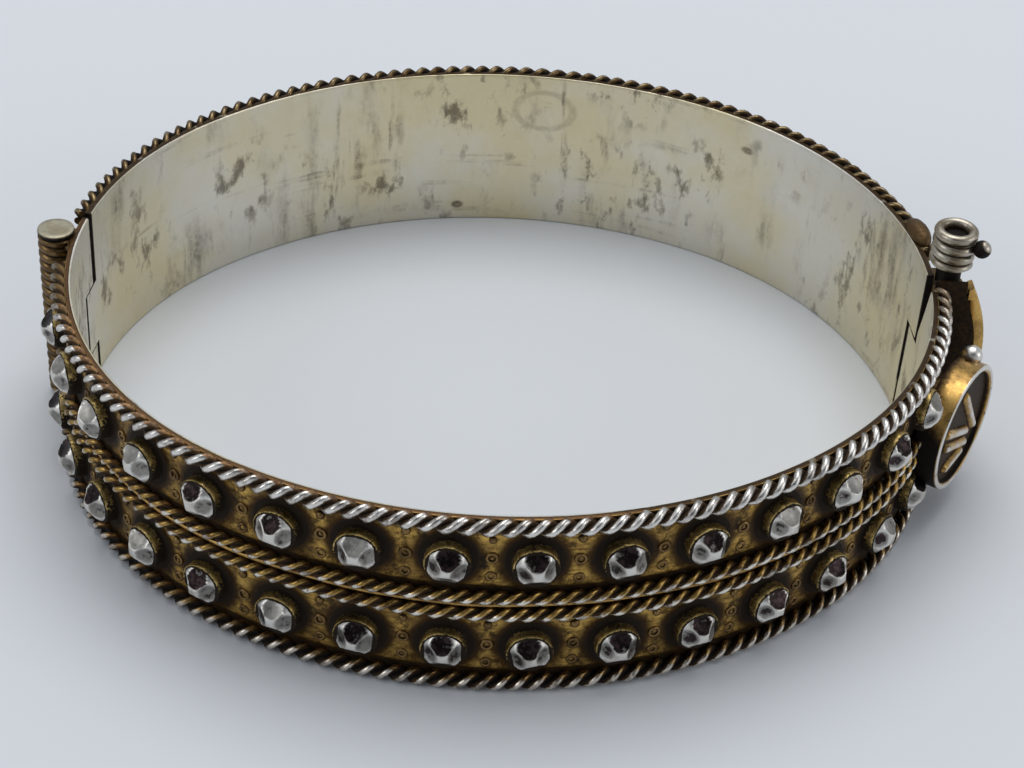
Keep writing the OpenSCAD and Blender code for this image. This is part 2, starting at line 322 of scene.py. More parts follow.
# soft stains on the inside of the back wall: across, height, radius and share of dark, in millimetres
STAINS = ((5.7, 10.06, 1.6, 0.22), (-0.69, 1.3, 0.45, 0.9), (20.17, 10.54, 0.4, 0.7))


def inside_silver():
    """Inside of the band: straw-toned silver with smears of tarnish drawn up and down and along the hoop, a
    few dark spots, and the pale ring that a drop of polish left."""
    n = Nodes("inside_silver")
    broad = n.noise(90, 3, 0.5)
    upright = n.noise(1, 6, 0.62, n.scaled(420, 420, 110))
    narrow = n.noise(1, 5, 0.6, n.scaled(1100, 1100, 170))
    level = n.noise(1, 5, 0.6, n.scaled(60, 60, 900))
    fine = n.noise(2600, 3, 0.6)
    smear = n.times(n.step(upright, 0.50, 0.72), n.step(broad, 0.40, 0.66))
    drip = n.times(n.step(narrow, 0.58, 0.74), n.step(broad, 0.46, 0.60))
    streak = n.times(n.step(level, 0.58, 0.76), n.step(upright, 0.40, 0.66))
    dirt = n.math("ADD", n.times(smear, 0.85), n.times(streak, 0.8), clamp=True)
    dirt = n.most(dirt, n.times(drip, 0.7))
    dirt = n.times(dirt, n.step(fine, 0.30, 0.62, 0.55, 1.0))
    blotch = n.noise(1, 6, 0.66, n.scaled(700, 700, 380))
    blot = n.times(n.step(blotch, 0.52, 0.66), n.step(n.noise(130, 3, 0.5), 0.42, 0.60))
    dirt = n.most(dirt, n.times(blot, 0.75))
    x, y, z = (n.node("SeparateXYZ", axis, {0: n.place}) for axis in "XYZ")
    far_wall = n.step(y, 0.008, 0.010)
    for across, height, radius, share in STAINS:
        dx = n.times(n.math("SUBTRACT", x, across * MM), 0.73)
        dz = n.math("SUBTRACT", z, height * MM)
        away = n.math("SQRT", n.math("ADD", n.times(dx, dx), n.times(dz, dz)))
        if radius > 1:
            away = n.math("ABSOLUTE", n.math("SUBTRACT", away, radius * MM))
            spot = n.step(away, 0.00008, 0.00035, share, 0.0)
        else:
            spot = n.step(away, radius * MM * 0.45, radius * MM, share, 0.0)
        spot = n.times(n.times(spot, far_wall), n.step(fine, 0.3, 0.6, 0.6, 1.0))
        dirt = n.most(dirt, spot)
    warm = n.step(n.noise(55, 4, 0.6), 0.38, 0.66)
    color = n.mix(warm, INSIDE, STRAW)
    color = n.mix(dirt, color, (0.13, 0.10, 0.068))
    edge = n.times(n.attribute("edge"), n.step(n.noise(700, 4, 0.6), 0.30, 0.50, 0.6, 1.0))
    # seam: painted shadow at the open joints at the ends of each half
    seam = n.ragged("seam", fine, 0.6)
    color = n.coat(color, (0.055, 0.034, 0.018), edge, 0.15, 0.40)
    color = n.coat(color, (0.13, 0.070, 0.032), edge, 0.55, 0.85)
    color = n.coat(color, (0.02, 0.014, 0.009), seam, 0.40, 0.75)
    rough = n.blend(dirt, n.step(fine, 0.3, 0.7, 0.34, 0.46), 0.62)
    metal = n.blend(n.most(dirt, n.math("MINIMUM", seam, 1.0)), 1.0, 0.55)
    normal = n.bump(n.noise(140, 4, 0.5), 0.00012, 0.5)
    normal = n.bump(level, 0.00002, 0.6, normal)
    return n.finish(color, rough, metal, normal)


def gilt_ground():
    """Outside of the band: gold-brown gilding left in patches between the studs, brown and black in noise
    patches, with painted shadow round the studs and painted shade along the ropes."""
    n = Nodes("gilt_ground")
    patch = n.noise(420, 6, 0.65, distortion=0.4)
    strokes = n.noise(1, 6, 0.65, n.scaled(900, 900, 3200))
    fine = n.noise(5200, 4, 0.7)
    color = n.mix(n.step(patch, 0.38, 0.60), (0.30, 0.185, 0.055), (0.68, 0.43, 0.115))
    color = n.coat(color, BROWN, strokes, 0.42, 0.68, 0.7)
    color = n.coat(color, BROWN, n.noise(1500, 5, 0.75), 0.46, 0.60, 0.8)
    # painted shadow round the studs and painted shade along the ropes, with ragged limits
    painted_shadow = n.ragged("crevice", patch, 0.9)
    color = n.coat(color, BROWN, painted_shadow, 0.10, 0.66)
    # black in dark noise patches and in the deepest painted shadow
    dark = n.most(n.step(n.noise(640, 5, 0.7), 0.52, 0.68, 0.0, 0.85), n.step(painted_shadow, 0.48, 1.10))
    dark = n.times(dark, n.step(fine, 0.28, 0.55, 0.7, 1.0))
    color = n.mix(dark, color, BLACK)
    rough = n.blend(dark, n.step(strokes, 0.3, 0.7, 0.36, 0.55), 0.8)
    metal = n.blend(dark, 1.0, 0.3)
    normal = n.bump(n.noise(1100, 5, 0.6), 0.00008, 0.8)
    normal = n.bump(strokes, 0.00004, 0.8, normal)
    normal = n.bump(fine, 0.00002, 0.7, normal)
    return n.finish(color, rough, metal, normal)


def rope_metal(name, worn_share, base, crest, darkened_by=0.0, twist=(0.32, 0.70)):
    """Twisted wire: black in the twist from tarnish and painted shade, gilded on the strands, worn to silver
    on their crests, with an orange-brown fringe of old tarnish on the side towards the sheet. The twist's two
    numbers are where brown and black begin."""
    n = Nodes(name)
    fine = n.noise(3800, 4, 0.6)
    patch = n.noise(300, 4, 0.6)
    groove = n.ragged("groove", fine, 0.4)
    # the whole rope made darker by a set amount
    groove = n.math("ADD", groove, darkened_by)
    wear = n.ragged("wear", patch, 0.9)
    color = n.mix(n.step(wear, 1 - worn_share, 1.22 - worn_share), base, crest)
    color = n.coat(color, BROWN, n.noise(900, 5, 0.7), 0.46, 0.66, 1.0 - 0.55 * worn_share)
    fringe = n.ragged("inner", patch, 0.8)
    fringe = n.step(fringe, 0.62, 0.95, 0.0, 0.92)
    color = n.mix(fringe, color, n.mix(n.step(fine, 0.42, 0.62), (0.12, 0.060, 0.024), ORANGE))
    color = n.mix(n.times(n.attribute("dull"), 0.85), color, (0.15, 0.10, 0.045))
    # brown and black in the twist: tarnish with painted shade
    color = n.coat(color, BROWN, groove, twist[0], twist[0] + 0.22)
    color = n.coat(color, BLACK, groove, twist[1] - 0.16, twist[1] + 0.16)
    rough = n.blend(n.step(groove, 0.35, 0.7), n.step(fine, 0.3, 0.7, 0.24, 0.38), 0.7)
    rough = n.blend(fringe, rough, 0.6)
    metal = n.blend(n.step(groove, 0.45, 0.8), 1.0, 0.4)
    return n.finish(color, rough, metal, n.bump(fine, 0.00001, 0.6))


def stud_metal():
    """Studs: gilded collets with painted shadow at their feet and painted shade below their lit tops, from
    the attribute 'tarnish', and matt worn domes whose hollow facets are painted dark as reflection and shade.
    The attribute 'shade' says how dark a facet is painted."""
    n = Nodes("stud_metal")
    fine = n.noise(4200, 4, 0.65)
    patch = n.noise(620, 5, 0.6)
    mottle = n.noise(1700, 5, 0.65)
    gilt = n.mix(n.step(patch, 0.35, 0.65), (0.62, 0.45, 0.17), OLIVE)
    silver = n.mix(n.step(patch, 0.52, 0.72, 0.0, 0.75), WORN, (0.34, 0.31, 0.27))
    # facet: painted dark reflection and shade in the dome's facets, mottled
    facet = n.ragged("shade", mottle, 1.3)
    facet = n.times(facet, n.step(n.attribute("shade"), 0.0, 0.35))
    silver = n.coat(silver, (0.21, 0.20, 0.18), facet, 0.06, 0.62, 0.85)
    silver = n.mix(n.step(facet, 0.66, 0.90), silver, n.mix(n.step(mottle, 0.45, 0.66), (0.014, 0.010, 0.010),
                                                            (0.060, 0.040, 0.042)))
    dome = n.attribute("dome")
    color = n.mix(dome, gilt, silver)
    # black: painted shadow at the studs' feet and painted shade on the collets
    black = n.ragged("tarnish", n.noise(5200, 3, 0.6), 1.3)
    black = n.step(black, 0.38, 0.62)
    color = n.mix(black, color, (0.022, 0.014, 0.008))
    rough = n.blend(dome, n.step(fine, 0.3, 0.7, 0.26, 0.42), n.step(patch, 0.4, 0.75, 0.40, 0.54))
    rough = n.blend(black, rough, 0.8)
    metal = n.blend(black, 1.0, 0.35)
    return n.finish(color, rough, metal, n.bump(n.noise(1500, 3, 0.5), 0.00003, 0.6))


def plain_metal(name, clean, dull, rough_low=0.22, rough_high=0.42, dirt=0.5, crest=None):
    """Smooth worked metal, clean on its faces, brown where the attribute 'groove' is high (tarnish, and in
    places painted shade) and, where a crest colour is given, worn to it where 'bright' is high."""
    n = Nodes(name)
    fine = n.noise(3600, 4, 0.65)
    patch = n.noise(520, 5, 0.62)
    color = n.mix(n.step(patch, 0.40, 0.66), clean, dull)
    if crest:
        worn = n.math("ADD", n.attribute("bright"), n.math("SUBTRACT", patch, 0.5))
        color = n.mix(n.step(worn, 0.55, 0.95), color, crest)
    groove = n.ragged("groove", fine, 0.4)
    spots = n.step(n.noise(1300, 5, 0.7), 0.58, 0.72, 0.0, dirt)
    dark = n.most(n.step(groove, 0.45, 0.85), spots)
    color = n.mix(dark, color, BROWN)
    color = n.coat(color, BLACK, groove, 0.75, 1.0)
    rough = n.blend(dark, n.step(fine, 0.3, 0.7, rough_low, rough_high), 0.65)
    return n.finish(color, rough, n.blend(dark, 1.0, 0.55), n.bump(fine, 0.000012, 0.6))


inner_mat, ground_mat = inside_silver(), gilt_ground()
edge_rope_mat = rope_metal("edge_rope", 0.75, (0.60, 0.50, 0.36), (0.76, 0.73, 0.69), twist=(0.44, 0.84))
far_rope_mat = rope_metal("far_rope", 0.24, (0.23, 0.165, 0.085), (0.46, 0.39, 0.29), darkened_by=0.1)
low_rope_mat = rope_metal("lower_edge_rope", 0.46, (0.24, 0.155, 0.065), (0.68, 0.62, 0.54), darkened_by=0.08)
mid_rope_mat = rope_metal("middle_rope", 0.38, (0.38, 0.24, 0.075), (0.80, 0.76, 0.68), twist=(0.38, 0.90))
stud_mat = stud_metal()
wire_mat = plain_metal("fine_wire", (0.44, 0.27, 0.09), (0.20, 0.11, 0.04), dirt=0.7)
grain_mat = plain_metal("grains", (0.24, 0.15, 0.06), (0.11, 0.065, 0.03), 0.3, 0.5, dirt=0.7)
barrel_mat = plain_metal("barrel_wire", (0.175, 0.112, 0.050), (0.085, 0.052, 0.024), 0.26, 0.46, dirt=0.8)
head_mat = plain_metal("pin_head", (0.47, 0.43, 0.36), (0.25, 0.20, 0.13), 0.28, 0.46, dirt=0.5)
cap_mat = plain_metal("hinge_cap", (0.42, 0.39, 0.30), (0.33, 0.29, 0.20), 0.36, 0.52, dirt=0.35)
strip_mat = plain_metal("gilt_strip", (0.62, 0.39, 0.12), (0.34, 0.21, 0.07), dirt=0.5)
rosette_mat = plain_metal("rosette_metal", (0.50, 0.31, 0.095), (0.17, 0.10, 0.038), dirt=0.85, crest=WORN)
print("metals made:", len(bpy.data.materials))

# %% [markdown]
# ## The sheet band
# One strip of half-millimetre sheet per half. Its cross-section is a tall thin rectangle with worn corners,
# carried round the oval. Each height of the strip may stop at its own direction, which cuts the stepped
# ends that interlock at the hinge and at the clasp, and the outside is hollowed a little where the other
# half's knuckle turns.

# %% Sheet of both halves
ZONE = 0.07                     # half the clearance between interlocking steps
SUNK = 0.42                     # reach at which soldered pieces start, inside the sheet
HINGE_LOW, HINGE_HIGH, CLASP_STEP = MID - 4.1, MID + 0.95, MID + 1.0
HINGE_TURN, HINGE_REACH = 168.4, 1.65
CLASP_TURN, CLASP_REACH = -6.5, 1.5
EDGE_REACH, EDGE_ROPE = 0.8, 0.6                 # reach and radius of the edge ropes
MID_REACH, MID_ROPE, MID_GAP, MID_ROPES = 0.85, 0.48, 1.3, MID + 0.07  # of the middle two, apart, height
STUD_SHADOW, SHADOW_FADE, ROPE_SHADE_WIDTH = 2.7, 1.1, 0.24  # painted shadow: reach and fade round a stud; width of the painted shade beside a rope
LEFT_END = 284                  # direction where the browned left part of the front ends
ROW = 3.35                      # height of each row of studs above or below the middle
PITCH, DRIFT, WOBBLE = 5.07, 0.3, 0.05          # of the columns of studs
COLUMNS = {"front_half": (15, 1.15, 1), "back_half": (15, 11.0, -1)}     # how many, first distance, way


def column(i, count, first):
    """Distance of a column of studs along the inside face: even pitch, a slow drift and a wobble."""
    return first + PITCH * i + DRIFT * ((2 * i / (count - 1) - 1) ** 2 - 0.5) + WOBBLE * (1 if i % 2 else -1)


def stud_shade(turn, z, half):
    """Painted shadow round the studs: 1 up to the foot of each stud, fading out over the next millimetre."""
    count, first, way = COLUMNS[half]
    s, gap = run(turn, 0), np.full(turn.shape, 9.0)
    for i in range(count):
        away = s - run(180, 0) - way * column(i, count, first)
        for side in (-1, 1):
            gap = np.minimum(gap, np.hypot(away, z - MID - side * ROW))
    return unit((STUD_SHADOW - gap) / SHADOW_FADE) ** 1.1


def rope_shade(z):
    """Painted shade along the ropes' feet: how close a height on the outside is to a rope's foot, 1 beside
    it,
    0 half a millimetre away.
    """
    shade = np.zeros_like(z)
    for centre, radius in ((EDGE_ROPE, EDGE_ROPE), (TOP - EDGE_ROPE, EDGE_ROPE),
                           (MID_ROPES - MID_GAP / 2, MID_ROPE), (MID_ROPES + MID_GAP / 2, MID_ROPE)):
        gap = np.maximum(np.abs(z - centre) - radius, 0)
        shade = np.maximum(shade, np.exp(-(gap / ROPE_SHADE_WIDTH) ** 2))
    return shade


def sheet(name, start, stop, inner_start, inner_stop, steps, hollows, body):
    """The closed strip: columns go round the worn rectangle, rows run from start(z) to stop(z), which give
    the direction where each height ends. Between inner_start and inner_stop all heights run together."""
    corner = 0.1
    quarter = np.linspace(0, np.pi / 2, 4)
    heights = np.arange(corner + 0.2, SHEET_TOP - corner - 0.1, 0.2)
    heights = np.unique(np.round(np.concatenate([heights, [s + d for s in steps for d in (-0.004, 0.004)]]),
                                 4))
    low_w, low_z = corner - corner * np.sin(quarter), corner - corner * np.cos(quarter)
    half_w = np.concatenate([[WALL / 2], low_w, np.zeros(len(heights)), low_w[::-1], [WALL / 2]])
    half_z = np.concatenate([[0], low_z, heights, SHEET_TOP - low_z[::-1], [SHEET_TOP]])
    w = np.concatenate([half_w, WALL - half_w[-2:0:-1]])
    z = np.concatenate([half_z, half_z[-2:0:-1]])
    first, last = start(z), stop(z)
    soft = 0.05 / 25 * 180 / np.pi              # the worn end, 0.05 mm long, in degrees
    t = np.linspace(0, 1, 25)[:, None]
    head = np.concatenate([[first], first + soft + (inner_start - first - soft) * t[:-1]])
    body_run = np.linspace(inner_start, inner_stop, int((inner_stop - inner_start) / 0.8))[:, None] + 0 * z
    tail = np.concatenate([inner_stop + (last - soft - inner_stop) * t[1:], [last]])
    turn = np.concatenate([head, body_run, tail])
    W = np.broadcast_to(w, turn.shape).copy()
    for at, reach, radius, z0, z1 in hollows:
        side = np.radians(turn - at) * (END_R + WALL)
        inside = (np.abs(side) < radius) & (z > z0) & (z < z1) & (W > WALL / 2)
        bound = reach - np.sqrt(np.maximum(radius ** 2 - side ** 2, 0))
        W = np.where(inside, np.minimum(W, bound), W)
    W[[0, -1]] = WALL / 2 + (W[[0, -1]] - WALL / 2) * 0.8
    mats = (w + np.roll(w, -1)) / 2 > WALL * 0.8
    top_edge = unit((z - SHEET_TOP + 0.12) / 0.1) * unit((w - 0.02) / 0.08)
    left = fade(turn, 163, LEFT_END, 12)
    # painted shadow round the studs and painted shade beside the ropes, on the outside face only
    painted_shadow = np.maximum(rope_shade(z) * 0.8, stud_shade(turn, z, body)) * (w > WALL * 0.8)
    # the two end rows at each end are painted black on the outside as the shadow in the open joints
    painted_shadow[[0, 1, -2, -1]] = 1.3
    # seam: painted shadow on the end rows inside, at the open joints, fading out towards the bottom
    seam = np.zeros(turn.shape)
    open_run = unit((z - 2.2) / 1.2)
    seam[-3:] = np.array([[0.35], [1.2], [1.2]]) * open_run
    seam[:2] = 0.5 + 0.5 * open_run
    pile = Pile()
    pile.tube(place(turn, W, z), ends="pairs", mat=1, face_mat=mats.astype(int), crevice=painted_shadow,
              edge=top_edge * (0.5 + 0.5 * left) * (1 - left * (w < 0.12)), seam=seam)
    return pile.make(name, [inner_mat, ground_mat], body)


def stepped(z, low, high, inside, outside):
    """The direction where each height ends: one between two heights, another above and below them."""
    return np.where((z > low) & (z < high), inside, outside)


def front_stop(z):
    """Clasp end of the front half: long below the step, short above it, and sloped beside the pin's head."""
    gap = 0.62 + np.maximum(z - MID - 1.7, 0) * math.tan(math.radians(20))
    slope = 360 + CLASP_TURN - np.degrees(gap / END_R)
    return np.where(z < CLASP_STEP - ZONE, 357.2, np.minimum(351.9, slope))


notch, tongue = (HINGE_LOW - ZONE, HINGE_HIGH + ZONE), (HINGE_LOW + ZONE, HINGE_HIGH - ZONE)
front_sheet = sheet("front_sheet", lambda z: stepped(z, *notch, 167.8, 163.4), front_stop, 174, 347,
                    [*notch, CLASP_STEP - ZONE], [(HINGE_TURN, HINGE_REACH, 1.4, *notch)], "front_half")
back_sheet = sheet("back_sheet", lambda z: stepped(z, CLASP_STEP + ZONE, TOP, -7.3, -1.9),
                   lambda z: stepped(z, *tongue, 167.4, 162.2), 1, 160, [*tongue, CLASP_STEP + ZONE], [],
                   "back_half")
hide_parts("front_half")
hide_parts("back_half")

# %% [markdown]
# ## The twisted ropes
# A border rope is two wires twisted together and soldered down. Its cross-section is two round wires side
# by side, and the pair turns as it goes along, so the outline is the further of the two circles in each
# direction. Left-hand twist leans the lobes up to the right all the way round, as in the photo.

# %% Ropes and the plain middle wire
EDGE_PITCH, MID_PITCH = 2.32, 2.20     # one full turn of the pair, two lobes
ROPE_STEP = 0.105                      # distance between rows of points


def rope(pile, first, last, reach, z, size, pitch, phase, facing, flat_at):
    """Outline of two wires of radius a, centres d apart from the middle: d |cos q| + sqrt(a2 - d2 sin2 q),
    where q is the angle from the pair's own direction, which turns with the distance along the rope. Wear
    is greatest on the side that faces the given angle, measured upwards from straight out."""
    around = angles(20)
    along = np.linspace(run(first, reach), run(last, reach),
                        int((run(last, reach) - run(first, reach)) / ROPE_STEP))[:, None]
    wander = 0.22 * np.sin(along / 2.9 + phase * 3) + 0.16 * np.sin(along / 1.31 + phase)
    q = around - 2 * np.pi * along / pitch - phase - wander
    a, d = 0.50 * size, 0.50 * size - 0.012      # the two wires touch, and overlap a little
    r = d * np.abs(np.cos(q)) + np.sqrt(a * a - d * d * np.sin(q) ** 2)
    groove = np.sin(q) ** 2
    if flat_at is not None:
        near = np.cos(around - flat_at)
        r = np.where(near > 0.3, smooth_min(r, 0.92 * size / np.maximum(near, 0.3), 0.05), r)
    drift = 0.03 * np.sin(along / 4.7 + phase * 5)
    turn = turn_at(along, reach)
    P = place(turn, reach + r * np.cos(around), z + drift * 0.4 + r * np.sin(around))
    left = fade(turn, 170, LEFT_END, 12) + 0 * around
    dull = unit((turn - 339) / 5) + fade(turn, 170, 192, 6)
    start = np.where(left > 0.5, 1.15 - 0.45 * unit((245 - turn) / 25), 2.5)
    pile.tube(P, groove=groove, dull=dull + 0 * around, wear=0.5 + 0.5 * np.cos(around - facing) + 0 * q,
              inner=unit((around - start) / 0.6) * (around < 4.3))


def plain_wire(pile, first, last, reach, z, radius, wave):
    """A thin round wire along the hoop that wanders a little up and down."""
    around = angles(8)
    turn = np.linspace(first, last, int(last - first))[:, None]
    z = z + wave * np.sin(turn / 5.3) + wave * 0.6 * np.sin(turn / 2.1)
    pile.tube(place(turn, reach + radius * np.cos(around), z + radius * np.sin(around)))


RUNS = {"front_half": (176, 349), "back_half": (-0.4, 162.7)}
for half, ends in RUNS.items():
    upper_mat = edge_rope_mat if half == "front_half" else far_rope_mat
    edge, middle = (EDGE_ROPE, EDGE_PITCH), (MID_ROPE, MID_PITCH)
    for label, reach, z, size, phase, facing, flat_at, metal in (
            ("top", EDGE_REACH, TOP - EDGE_ROPE, edge, 0.3, 0.5, 0.6, upper_mat),
            ("bottom", EDGE_REACH, EDGE_ROPE, edge, 1.1, -0.5, -0.6, low_rope_mat),
            ("upper_middle", MID_REACH, MID_ROPES + MID_GAP / 2, middle, 2.0, -0.9, None, mid_rope_mat),
            ("lower_middle", MID_REACH, MID_ROPES - MID_GAP / 2, middle, 0.9, -0.9, None, mid_rope_mat)):
        pile = Pile()
        rope(pile, *ends, reach, z, *size, phase, facing, flat_at)
        pile.make(f"{half}_{label}_rope", [metal], half, sharp=80)
    pile = Pile()
    plain_wire(pile, *ends, 0.72, MID_ROPES + 0.04, 0.17, 0.04)
    pile.make(f"{half}_middle_wire", [wire_mat], half, sharp=80)

# %% [markdown]
# ## Studs
# Each stud is a short collet with a silver dome in it, and the dome is beaten into four hollow facets:
# above, below, left and right. The hollows are parts of spheres sunk into the dome, so every direction from
# the dome's centre takes the nearer of the two surfaces. A flat ring round the collet's foot is painted black
# as the stud's shadow, the collet is painted in shade below its lit top, and the facets are painted dark as
# reflection and shade. No two studs are quite alike, because each was struck by hand.

# %% Studs
DOME, BEAT = 1.40, 3.0      # radius of the dome and of the punch that beat it
DOME_TOP = 2.13
# radius, reach and painted shadow from the ring at the foot up the collet to its lip, where the dome starts
COLLET = [(1.92, 0.44, 1), (1.88, 0.48, 1), (1.83, 0.51, 1), (1.77, 0.515, 1), (1.71, 0.505, 1),
          (1.66, 0.505, 1),
          (1.56, 0.505, 1), (1.46, 0.515, 1), (1.43, 0.58, 0.9), (1.425, 0.80, 0.5), (1.42, 1.05, 0.42),
          (1.415, 1.22, 0.38), (1.38, 1.31, 0.32), (1.32, 1.32, 0.5), (1.275, 1.285, 1)]
# how dark each facet is painted, as dark reflection and shade, and where its dark part begins: towards the
# next stud, above, back, below
FACETS = ((0.70, 0.05), (1.0, 0.10), (0.85, 0.30), (0.6, 0.2))


def stud(pile, turn, z, rng):
    """Rings over the black foot, up the collet and over the faceted dome to its top."""
    az = angles(48)
    wob = 1 + 0.012 * np.sin(2 * az + rng.uniform(0, 6)) + 0.008 * np.sin(5 * az + rng.uniform(0, 6))
    rho, reach, tarnish = spun(COLLET, az)
    # painted shade on the collet's lip all round but its lit top
    tarnish[8:14] += 0.55 * unit(0.35 - np.sin(az - 0.25))
    reach[10:14] -= 0.05 * (0.5 + 0.5 * np.sin(26 * az + rng.uniform(0, 6)))
    polar = np.radians(np.linspace(64, 2.0, 24))[:, None]
    v = np.stack([np.sin(polar) * np.cos(az), np.sin(polar) * np.sin(az), np.cos(polar) + 0 * az], -1)
    r, shade = np.full(v.shape[:2], DOME), np.zeros(v.shape[:2])
    twist = rng.uniform(-0.2, 0.2)
    pale = rng.uniform(0, 1) > 0.75        # a quarter of the studs have a less darkly painted upper facet
    for k, (dark, spread) in enumerate(FACETS):
        tilt, turned = math.radians(rng.uniform(39, 45)), k * np.pi / 2 + twist + rng.uniform(-0.12, 0.12)
        depth = rng.uniform(0.25, 0.31)
        c = (DOME + BEAT - depth) * np.array([math.sin(tilt) * math.cos(turned),
                                              math.sin(tilt) * math.sin(turned),
                                              math.cos(tilt)])
        along = v @ c
        inside = along ** 2 - (c @ c - BEAT ** 2)
        hit = np.where(inside > 0, along - np.sqrt(np.maximum(inside, 0)), 9.0)
        deep = unit((r - hit) / 0.25) * (hit < r)
        dark, soft = (0.55 if pale else dark, 0.25) if k == 1 else (dark, 0.8)
        # painted dark reflection and shade in the facet's hollow
        shade = np.where(hit < r, dark * unit((deep + 0.15 - spread) / soft), shade)
        r = smooth_min(r, hit, 0.012)
    collet = np.zeros(tarnish.shape)
    rho = np.vstack([rho * wob, r * np.sin(polar)])
    reach = np.vstack([reach, DOME_TOP - DOME + r * np.cos(polar)])
    P = place(beside(turn, rho * np.cos(az)), reach, z + rho * np.sin(az))
    tips = (place(turn, 0.40, z), place(turn, DOME_TOP - DOME + r[-1].mean(), z))
    # 'tarnish' holds painted shadow: black at the foot, shade on the collet and round the dome's edge
    pile.tube(P, tips=tips, tarnish=np.vstack([tarnish, 0.8 * (polar > 1.08) + 0 * az]),
              dome=np.vstack([collet, np.ones(r.shape)]), shade=np.vstack([collet, shade]))


def bead(pile, turn, reach, z, radius, squash=1.0, stretch=1.0, groove=None):
    """A small ball standing on the wall, flattened outwards by squash and drawn out along the hoop by
    stretch."""
    az = angles(14)
    polar = np.linspace(0.15, np.pi - 0.15, 11)[:, None]
    direction = beside(turn, radius * stretch * np.sin(polar) * np.cos(az))
    P = place(direction, reach + radius * squash * np.cos(polar), z + radius * np.sin(polar) * np.sin(az))
    pile.tube(P, tips=(place(turn, reach + radius * squash, z), place(turn, reach - radius * squash, z)),
              groove=0.9 * (polar > 1.5) + 0.2 + 0 * az if groove is None else groove)


def ringlet(pile, turn, reach, z, big, small):
    """A tiny ring of wire lying on the wall."""
    az = angles(16)[:, None]
    b = angles(8)
    rho = big + small * np.cos(b)
    pile.ring(place(beside(turn, rho * np.cos(az)), reach + small * np.sin(b), z + rho * np.sin(az)),
              groove=unit(-np.cos(b)) + 0 * az)


for half, (count, first, way) in COLUMNS.items():
    rng = np.random.default_rng(7 if way > 0 else 8)
    studs, grains = Pile(), Pile()
    places = [column(i, count, first) for i in range(count)]
    for i, s in enumerate(places):
        turn = float(beside(180, way * s, 0))
        for z in (MID - ROW, MID + ROW):
            stud(studs, turn, z, rng)
        if i + 1 < count:
            middle = (s + places[i + 1]) / 2
            at = float(beside(180, way * (middle + rng.uniform(-0.12, 0.12)), 0))
            for z in (MID - ROW, MID + ROW):
                bead(grains, at, 0.55, z + 1.6 + rng.uniform(-0.1, 0.1), rng.uniform(0.24, 0.3), 0.7)
                ringlet(grains, at, 0.51, z + 0.05 + rng.uniform(-0.1, 0.1), 0.32, 0.12)
                bead(grains, at, 0.50, z + 0.05 + rng.uniform(-0.1, 0.1), 0.15, 0.8,
                     groove=rng.uniform(0, 0.5))
                ringlet(grains, at, 0.49, z - 1.35 + rng.uniform(-0.1, 0.1), 0.26, 0.12)
    studs.make(f"{half}_studs", [stud_mat], half, sharp=30)
    grains.make(f"{half}_grains", [grain_mat], half, sharp=80)

# %% [markdown]
# ## Hinge barrel
# Three knuckles on one pin, each wound with the same wire so that the winding seems to run on from one to
# the next. A knuckle is a ring in cross-section (outside, top, bore, bottom) carried once round the axis,
# and the winding is a bump that climbs one pitch in each turn.

# %% Hinge and clasp knuckles
CLASP = (np.array(place(CLASP_TURN, CLASP_REACH, 0)) / MM)[:2]
print("hinge axis", HINGE.round(3), "clasp axis", CLASP.round(3))


def lathe(pile, centre, radius, height, tips=None, **data):
    """A surface of revolution: radius and height are grids whose rows run along the profile and whose
    columns go round the axis. With tips it is closed by two points on the axis, without them it is a
    ring."""
    az = angles(radius.shape[1])
    P = np.stack([centre[0] + radius * np.cos(az), centre[1] + radius * np.sin(az), height + 0 * radius],
                 -1) * MM
    if tips is None:
        pile.ring(P, **data)
    else:
        pile.tube(P, tips=[np.array([*centre, z]) * MM for z in tips], **data)


BARREL = dict(core=1.04, mid=0.93, wire=0.33, pitch=0.7, bore=0.55)


def wound(pile, centre, low, high, core, mid, wire, pitch, bore):
    """Knuckle wound with wire: radius = the larger of the core and a round wire whose height falls with the
    angle."""
    az = angles(56)
    z = np.linspace(low, high, int((high - low) / (pitch / 9)) + 2)[:, None]
    offset = (z + pitch * az / (2 * np.pi)) / pitch
    offset = (offset - np.round(offset)) * pitch
    bump = mid + np.sqrt(np.maximum(wire ** 2 - offset ** 2, 0))
    r = np.maximum(np.where(np.abs(offset) < wire, bump, core), core)
    groove = 1 - (r - core) / (mid + wire - core)
    edge = np.minimum(z - low, high - z)
    r = np.minimum(r, core + 0.02 + edge * 2.2)
    one = np.ones((1, len(az)))
    lathe(pile, centre, np.vstack([r, bore * one, bore * one]),
          np.vstack([z + 0 * az, high * one, low * one]),
          groove=0.95 * np.vstack([groove, one, one]))


def block(pile, at, reach0, reach1, side0, side1, z0, z1):
    """A small block on the wall: a rectangle with cut corners, carried up through its height."""
    c = 0.06
    xs = np.array([reach0 + c, reach1 - c, reach1, reach1, reach1 - c, reach0 + c, reach0, reach0])
    ys = np.array([side0, side0, side0 + c, side1 - c, side1, side1, side1 - c, side0 + c])
    turn = beside(at, ys, 0.5)
    z = np.array([z0, z0 + 0.02, z1 - 0.02, z1])[:, None]
    pile.tube(place(turn + 0 * z, xs + 0 * z, z + 0 * xs), groove=0.4)


